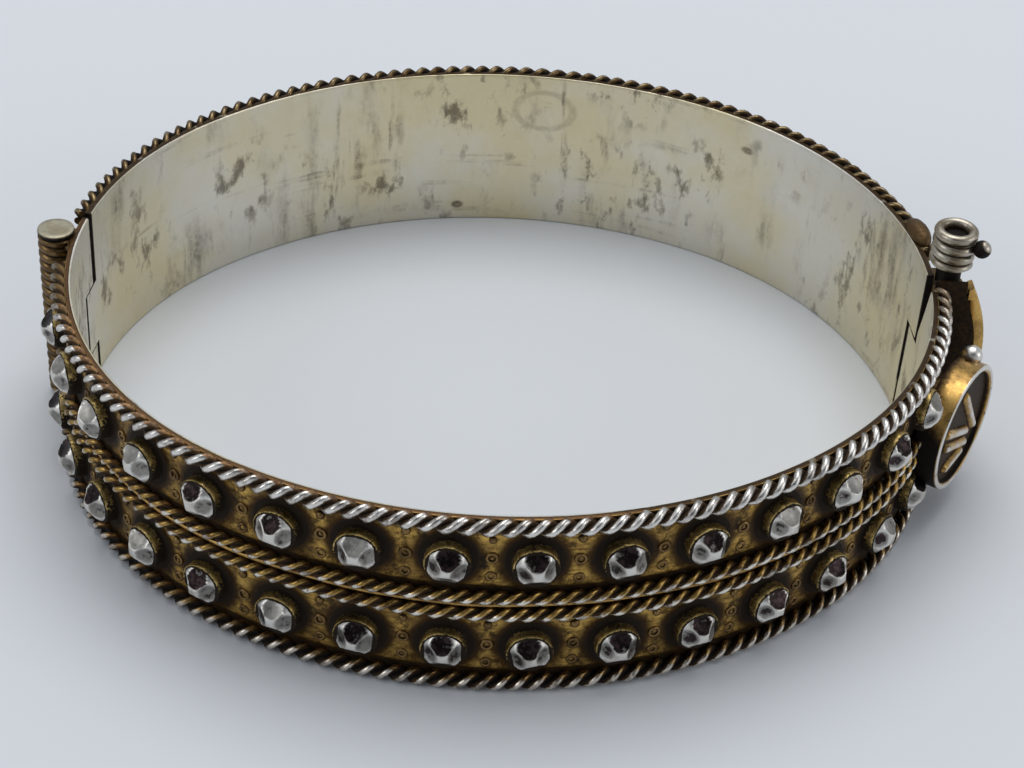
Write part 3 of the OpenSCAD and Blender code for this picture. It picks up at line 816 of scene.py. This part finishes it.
front_metal, back_metal = Pile(), Pile()
for pile, low_z, high_z, side in ((front_metal, HINGE_HIGH + ZONE, SHEET_TOP, (-0.8, 0.8)),
                                  (front_metal, 0.35, HINGE_LOW - ZONE, (-0.8, 0.8)),
                                  (back_metal, HINGE_LOW + ZONE, HINGE_HIGH - ZONE, (-1.1, -0.45))):
    wound(pile, HINGE, low_z, high_z, **BARREL)
    block(pile, HINGE_TURN, SUNK, 0.98, *side, low_z + 0.02, high_z - 0.02)
front_metal.make("front_hinge_knuckles", [barrel_mat], "front_half", sharp=60)
back_metal.make("back_hinge_knuckle", [barrel_mat], "back_half", sharp=60)

# %% [markdown]
# ## Hinge pin
# The rod was pushed down through the three knuckles and riveted over below, so it stays with the front
# half, which holds it at both ends. A flat worn disc stops it at the top. Rod, rivet and disc are one
# outline turned round the axis.

# %% Hinge pin with its disc
pin = Pile()
az = angles(56)
cap_z = SHEET_TOP + 0.06
# radius, height and darkness up the rod and over the disc: the disc's side and underside are painted dark as
# shade, its top left light
radius, height, groove = spun([
    (0.8, 0.05, 0.6), (0.8, 0.2, 0.5), (0.72, 0.29, 0.6), (0.5, 0.30, 1), (0.5, cap_z, 1), (1.17, cap_z, 1.1),
    (1.22, cap_z + 0.05, 1.1), (1.24, cap_z + 0.14, 1), (1.24, cap_z + 0.24, 0.85), (1.20, cap_z + 0.33, 0.2),
    (1.1, cap_z + 0.36, 0), (0.8, cap_z + 0.35, 0), (0.4, cap_z + 0.345, 0)], az)
lathe(pin, HINGE, radius * (1 + 0.006 * np.sin(3 * az)), height, tips=(0.05, cap_z + 0.345), groove=groove)
hinge_pin = pin.make("hinge_pin_disc", [cap_mat], "front_half", sharp=40, slot="worn_silver")
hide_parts("hinge_pin")

# %% [markdown]
# ## Clasp
# The front half carries a plain tube at the clasp, and the back half a jaw above it that is open on the
# side the pin leaves by. The jaw is a C in plan: its outline runs round the outside, back along the bore,
# and is carried upwards.

# %% Clasp tube and jaw
BORE, JAW_R = 0.51, 1.1
tube = Pile()
az = angles(40)
top = CLASP_STEP - ZONE
tube_profile = [(1.22, 0.3), (1.25, 0.34), (1.25, top - 0.04), (1.22, top), (BORE, top), (BORE, 0.3)]
lathe(tube, CLASP, *spun(tube_profile, az), groove=0.35)
block(tube, 360 + CLASP_TURN, SUNK, 0.88, -0.9, 0.9, 0.32, top - 0.02)
tube.make("clasp_tube", [strip_mat], "front_half", sharp=40)

jaw = Pile()
JAW_LOW, JAW_HIGH = CLASP_STEP + 0.15, CLASP_STEP + 4.72
swing = math.atan2(*(CLASP - HINGE)[::-1]) - math.pi / 2       # the way out of the jaw, square to the hinge
outer_half = math.asin(BORE / JAW_R)
out_a = np.linspace(swing + outer_half, swing + 2 * np.pi - outer_half, 36)
in_a = np.linspace(swing + 2 * np.pi - np.pi / 2, swing + np.pi / 2, 36)
outer, inner = (CLASP + r * np.stack([np.cos(a), np.sin(a)], -1) for r, a in ((JAW_R, out_a), (BORE, in_a)))
loop = np.vstack([(outer[0] + inner[-1]) / 2, outer, (outer[-1] + inner[0]) / 2, inner])
z = np.array([JAW_LOW, JAW_LOW + 0.03, JAW_HIGH - 0.03, JAW_HIGH])[:, None] + 0 * loop[:, 0]
jaw.tube(np.stack([loop[:, 0] + 0 * z, loop[:, 1] + 0 * z, z], -1) * MM, ends="pairs", groove=0.45)
block(jaw, 360 + CLASP_TURN, 0.30, 1.38, 0.62, 1.68, JAW_LOW + 0.08, JAW_HIGH - 0.08)
bead(jaw, 4.3, 0.78, SHEET_TOP + 0.12, 0.72, stretch=2.3, groove=0.68)
jaw.make("clasp_jaw", [barrel_mat], "back_half", sharp=40)

# %% [markdown]
# ## Clasp pin
# The pin lifts out of jaw and tube to open the bangle. Its head is three turns of thick wire closed by a
# ring, with a cup in the top, and a small knob on a stub gives the finger a hold. The outline goes from the
# rod up over the turns (each wire's circle, which climbs one pitch on its way round) to the ring and the
# cup.

# %% Clasp pin
UP = np.array([0.0, 0.0, 1.0])
BALL_AZ = angles(24)
BALL_POLAR = np.linspace(0.12, np.pi - 0.12, 15)[:, None]


def circle(az, side):
    """Unit circle of directions square to an axis: cos a times its side plus sin a times up."""
    return np.cos(az)[None, :, None] * side + np.sin(az)[None, :, None] * UP


def ball(pile, centre, radius, axis, side, **data):
    """A ball: centre plus radius times (cos p times the axis plus sin p times the circle), p from pole to
    pole."""
    along, across = np.cos(BALL_POLAR)[..., None], np.sin(BALL_POLAR)[..., None]
    P = centre + radius * (along * axis + across * circle(BALL_AZ, side))
    pile.tube(P * MM, tips=((centre + radius * axis) * MM, (centre - radius * axis) * MM), **data)


pin = Pile()
az = angles(64)
HEAD, HEAD_WIRE, HEAD_LOW, HEAD_PITCH = 1.5, 0.34, TOP + 0.95, 0.7
HEAD_CORE = 1.15
z = np.linspace(HEAD_LOW - 0.30, HEAD_LOW + 2 * HEAD_PITCH + 0.34, 60)[:, None]
offset = (z - HEAD_LOW + HEAD_PITCH * (az / (2 * np.pi) - 0.5)) / HEAD_PITCH
offset = (offset - np.round(offset)) * HEAD_PITCH
coil = HEAD - HEAD_WIRE + np.sqrt(np.maximum(HEAD_WIRE ** 2 - offset ** 2, 0))
coil = np.minimum(coil, 1.16 + 1.6 * np.minimum(z - z[0], 1) ** 0.5)
turns = coil, z + 0 * az, HEAD_CORE - 0.95 * (coil - HEAD_CORE) / 0.34
top_z = HEAD_LOW + 3 * HEAD_PITCH
b = np.linspace(-0.5 * np.pi, 0.98 * np.pi, 14)[:, None] + 0 * az
rim = HEAD - HEAD_WIRE + HEAD_WIRE * np.cos(b), top_z + HEAD_WIRE * np.sin(b), 0.1 + 0.62 * unit(-np.cos(b))
# the cup's inside is painted dark as the shade in its recess
cup = [(0.81, top_z - 0.16, 0.9), (0.80, top_z - 0.26, 1.2), (0.4, top_z - 0.3, 1.3)]
# the neck under the head is painted near black as its shade
rod = [(0.45, 0.5, 1), (0.45, JAW_HIGH + 0.12, 1), (0.85, JAW_HIGH + 0.14, 1.1), (0.85, HEAD_LOW - 0.31, 1.2)]
radius, height, groove = (np.vstack(parts) for parts in zip(spun(rod, az), turns, rim, spun(cup, az)))
lathe(pin, CLASP, radius, height, tips=(0.5, top_z - 0.3), groove=groove)
KNOB = math.radians(CLASP_TURN - 32)
axis = np.array([math.cos(KNOB), math.sin(KNOB), 0.0])
side = np.array([-math.sin(KNOB), math.cos(KNOB), 0.0])
stub = np.array([*CLASP, HEAD_LOW + 1.4])
# the knob: a painted highlight on its lit upper rim and painted shade over the rest
lit = unit(np.sin(BALL_AZ) * np.sin(BALL_POLAR) + np.cos(BALL_POLAR) - 0.7)
ball(pin, stub + 1.94 * axis, 0.62, axis, side, groove=np.clip(1.2 - 1.6 * lit, 0, 1.1))
P = stub + np.array([1.1, 1.9])[:, None, None] * axis + 0.33 * circle(BALL_AZ, side)
pin.tube(P * MM, groove=1.0)
clasp_pin = pin.make("clasp_pin_head", [head_mat], "clasp_pin", sharp=60, slot="worn_silver")
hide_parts("clasp_pin")

# %% [markdown]
# ## Rosette
# The rosette is a shallow drum whose face has a worn rim and ribs that spread over a sunk ground. The face
# is a disc of rings: at each point the height is the ground, or a rounded rib where one passes.

# %% Rosette
ROS, ROS_TURN, ROS_R, ROS_DEEP = np.array([29.52 + SHIFT, -11.95, MID]), math.radians(-41), 4.45, 1.8
out_dir = np.array([math.cos(ROS_TURN), math.sin(ROS_TURN), 0])
side_dir = np.array([-math.sin(ROS_TURN), math.cos(ROS_TURN), 0])
GROUND, RIB, RIB_HIGH = -0.40, 0.34, 0.34       # the sunk face, a rib's half width and its height
# each rib's two ends: sideways and up from the middle of the face
RIBS = ((-0.18, 2.48, 2.42, -1.22), (-2.35, 0.67, 1.06, -0.98), (-2.2, -0.52, 1.18, -1.99),
        (-1.68, -2.53, 0.71, -2.47))
# radius, height, tarnish with painted shade (on the drum's side and the rim's inner wall) and polish from
# the back of the drum round its edge and over the rim
RIM = [(ROS_R, -ROS_DEEP, 0.9, 0), (ROS_R, -1.0, 0.35, 0), (ROS_R, -0.16, 0.2, 0.2),
       (ROS_R - 0.03, -0.05, 0, 1),
       (ROS_R - 0.12, 0, 0, 1), (4.2, 0, 0, 1), (4.08, -0.03, 0.1, 0.7), (3.98, -0.12, 0.6, 0.2),
       (3.95, -0.36, 1, 0)]


def rosette_points(rho, az, out):
    """Points of the rosette from its own polar coordinates and the height off its face."""
    return (ROS + (rho * np.cos(az))[..., None] * side_dir + (rho * np.sin(az))[..., None] * UP
            + out[..., None] * out_dir) * MM


az = angles(144)
rim_rho, rim_out, rim_tarnish_and_shade, rim_bright = spun(RIM, az)
face_rho = np.linspace(3.93, 0.03, 76)[:, None] + 0 * az
x, y = face_rho * np.cos(az), face_rho * np.sin(az)
face_out, ridge = np.full(face_rho.shape, GROUND), np.zeros(face_rho.shape)
for x0, y0, x1, y1 in RIBS:
    along = unit(((x - x0) * (x1 - x0) + (y - y0) * (y1 - y0)) / ((x1 - x0) ** 2 + (y1 - y0) ** 2))
    away = np.hypot(x - x0 - along * (x1 - x0), y - y0 - along * (y1 - y0))
    h = np.sqrt(np.maximum(1 - (away / RIB) ** 2, 0))
    face_out = np.maximum(face_out, GROUND + RIB_HIGH * h)
    ridge = np.maximum(ridge, h)
# painted shade on the lower left of the drum's side wall
low_side = 0.8 * unit((np.degrees(az) - 138) / 30) * unit((330 - np.degrees(az)) / 30)
rim_tarnish_and_shade = np.clip(rim_tarnish_and_shade + low_side * (rim_tarnish_and_shade > 0.15) * (rim_out < -0.1), 0, 1.1)
rosette = Pile()
rosette.tube(rosette_points(np.vstack([rim_rho, face_rho]), az, np.vstack([rim_out, face_out])),
             tips=(ROS * MM - out_dir * ROS_DEEP * MM, (ROS + out_dir * GROUND) * MM),
             groove=np.vstack([rim_tarnish_and_shade, unit(0.88 - ridge)]), bright=np.vstack([rim_bright, 0.85 * ridge]))
grain = math.radians(63)
grain_at = ROS + (4.7 * math.cos(grain)) * side_dir + 4.7 * math.sin(grain) * UP - 1.2 * out_dir
shaded = np.clip(0.9 * unit(-np.cos(BALL_AZ - 0.3)) * np.sin(BALL_POLAR) ** 2, 0, 0.8)
ball(rosette, grain_at, 0.7, out_dir, side_dir, bright=0.95, groove=shaded)
rosette.make("rosette", [rosette_mat], "front_half", sharp=35)

# %% [markdown]
# ## Collar behind the rosette
# The drum stands off the curved wall, so a short collar fills the wedge between the two and carries the
# solder. Each of its columns runs from the drum's back straight in until it meets the circle of the wall.

# %% Collar
COLLAR_R = 2.9
collar = Pile()
az = angles(48)
foot = ROS - ROS_DEEP * out_dir + COLLAR_R * (np.cos(az)[:, None] * side_dir + np.sin(az)[:, None] * UP)
flat = foot[:, :2] - np.array([CENTRE_X[4], 0.0])
along = flat @ out_dir[:2]
length = along - np.sqrt(np.maximum(along ** 2 - (flat ** 2).sum(1) + (END_R + SUNK) ** 2, 0))
steps = np.linspace(1, -0.05, 6)[:, None]
collar.tube((foot - (steps * np.clip(length, 0.05, None))[..., None] * out_dir) * MM, groove=0.5)
collar.make("rosette_collar", [barrel_mat], "front_half", sharp=40)

# %% [markdown]
# ## Bowed strip
# A gilt strip stands out in a bow over the clasp and ends against the wall above and below. Its section is
# a small rounded rectangle carried along an arc, deepest in the middle, where its inner side is cut
# straight. Its inner part is painted dark as shade. A web behind it, whose outer edge follows the bow, ties
# it to the wall and is painted dark as the shadow behind the strip.

# %% Bowed strip
STRIP_R, STRIP_FLAT = 11.47, 9.67   # radius of the bow, and distance of its straight inner side
STRIP_OUT, STRIP_Z, STRIP_TURN = END_R - 6.88, MID + 0.46, -8       # where the bow's middle stands
LIT_DEPTH, WEB_R = 0.72, 10.75                     # how deep the lit gilt part reaches before the painted shade, and radius of the web's edge
strip = Pile()
turned = math.radians(STRIP_TURN)
radial = np.array([math.cos(turned), math.sin(turned), 0])
tangent = np.array([-math.sin(turned), math.cos(turned), 0])
bow = np.radians(np.linspace(-33.4, 29, 60))[:, None]
half_w, half_t, soft = 0.575, 0.5, 0.12
sx = np.array([-half_w + soft, 0, half_w - soft, half_w, half_w, half_w, half_w, half_w - soft, 0,
               -half_w + soft,
               -half_w, -half_w, -half_w, -half_w])
sy = np.array([half_t - 0.01, half_t, half_t - 0.01, half_t - soft, 0.12, 0.06, -half_t + soft, -half_t,
               -half_t,
               -half_t, -half_t + soft, 0.06, 0.12, half_t - soft])
below = (half_t - sy) * np.clip(STRIP_R - STRIP_FLAT / np.cos(bow), 0.42, 1.8)
R = STRIP_R - below
centre = np.array([CENTRE_X[4], 0, STRIP_Z]) + STRIP_OUT * radial
P = centre + (R * np.cos(bow))[..., None] * radial + (R * np.sin(bow))[..., None] * UP \
    + (sx + 0 * bow)[..., None] * tangent
# lit gilt on the outer part, painted shade deeper in
strip.tube(P * MM, groove=np.where(below < LIT_DEPTH, 0.1, 1.15))
web_z = np.linspace(0.6, 13.2, 30)[:, None]
web_out = STRIP_OUT + np.sqrt(WEB_R ** 2 - (web_z - STRIP_Z) ** 2) - END_R
web_out = np.where(web_z > 12, np.maximum(web_out, 2.6), web_out)
side = np.array([1, 1, 1, 0, -1, -1, -1, 0])
web_reach = np.array([0, 0.5, 1, 1, 1, 0.5, 0, 0]) * (web_out - SUNK) + SUNK
web_turn = 360 + STRIP_TURN - math.degrees((half_w + 0.12) / 28.2) + 0.24 * side + 0 * web_z
# the web is painted dark as the shadow behind the strip
strip.tube(place(web_turn, web_reach, web_z + 0 * side), groove=0.88)
strip.make("bowed_strip", [strip_mat], "front_half", sharp=50)

# %% [markdown]
# ## Floor and light
# The photo was taken on a pale sheet under soft light from above and behind, with the dark room and the
# photographer on the near side. A dark card behind the camera, which the metal mirrors and the camera
# doesn't see, gives the domes their dark upper facets.

# %% Floor and light
def panel(name, wide, high, z, color, rough, gloss):
    """A flat rectangle of one plain material."""
    me = bpy.data.meshes.new(name)
    corners = [(x * wide / 2, y * high / 2, z) for x, y in ((-1, -1), (1, -1), (1, 1), (-1, 1))]
    me.from_pydata(corners, [], [(0, 1, 2, 3)])
    me.materials.append(Nodes(name).finish(color, rough, 0.0, gloss=gloss))
    return new_object(name, me)


def face_bangle(o, at):
    """Stand a light or a card on the stage, turned to the bangle."""
    o.location = at
    o.rotation_mode = "QUATERNION"
    o.rotation_quaternion = (Vector((0, 0, 0.006)) - Vector(at)).to_track_quat("-Z", "Y")


floor = panel("floor", 6, 6, -0.00003, (0.70, 0.725, 0.76), 0.75, 0.15)
# name, place in metres, width, power and colour of each square light
for name, at, size, power, color in (("sky_light", (0.05, 0.22, 0.75), 0.6, 3.2, (1.0, 0.99, 0.97)),
                                     ("left_light", (-0.6, -0.15, 0.35), 0.3, 0.7, (0.97, 0.99, 1.0)),
                                     ("right_light", (0.6, -0.25, 0.25), 0.3, 0.6, (1.0, 0.99, 0.97))):
    data = bpy.data.lights.new(name, "AREA")
    data.shape, data.size, data.energy, data.color = "SQUARE", size, power, color
    face_bangle(new_object(name, data), at)
    print(f"{name}: {power} W")
card = panel("dark_card", 0.75, 0.40, 0, (0.02, 0.022, 0.03), 0.9, 0.25)
card.visible_camera = False
face_bangle(card, (-0.06, -0.50, 0.50))
world = bpy.data.worlds.new("room")
bpy.context.scene.world = world
world.use_nodes = True
sky = world.node_tree.nodes["Background"].inputs
sky[0].default_value, sky[1].default_value = (0.88, 0.93, 1.0, 1), 0.50

# %% [markdown]
# ## Camera
# The camera was fitted to the hoop's own edges, the hinge's disc, the clasp and the rosette. It stands 35.4
# degrees above the horizon and 150 mm from the middle of the band, a little to the left, and is rolled by
# 3.6 degrees.

# %% Camera
ELEV, DIST, TURNED, ROLL = math.radians(35.36), 0.15002, math.radians(9.79), math.radians(3.59)
WIDE, FOCAL, SHIFT_X, SHIFT_Y = 1024, 2178.3, 11.52, -44.23  # picture width, focal length, shifts, in pixels
back = Vector((-math.sin(TURNED) * math.cos(ELEV), -math.cos(TURNED) * math.cos(ELEV), math.sin(ELEV)))
right = Vector((math.cos(TURNED), -math.sin(TURNED), 0))
up = back.cross(right)
right_r = right * math.cos(ROLL) + up * math.sin(ROLL)
up_r = up * math.cos(ROLL) - right * math.sin(ROLL)
data = bpy.data.cameras.new("camera")
data.sensor_width, data.lens = 36, FOCAL / WIDE * 36
data.shift_x, data.shift_y = SHIFT_X / WIDE, SHIFT_Y / WIDE
data.clip_start, data.clip_end = 0.01, 20
cam = new_object("camera", data)
cam.matrix_world = Matrix.Translation(Vector((SHIFT * MM, 0, MID * MM)) + back * DIST) @ \
    Matrix((right_r, up_r, back)).transposed().to_4x4()
bpy.context.scene.camera = cam
bpy.context.scene.view_settings.view_transform = "Standard"
print("camera at, mm:", [round(c / MM, 1) for c in cam.location])
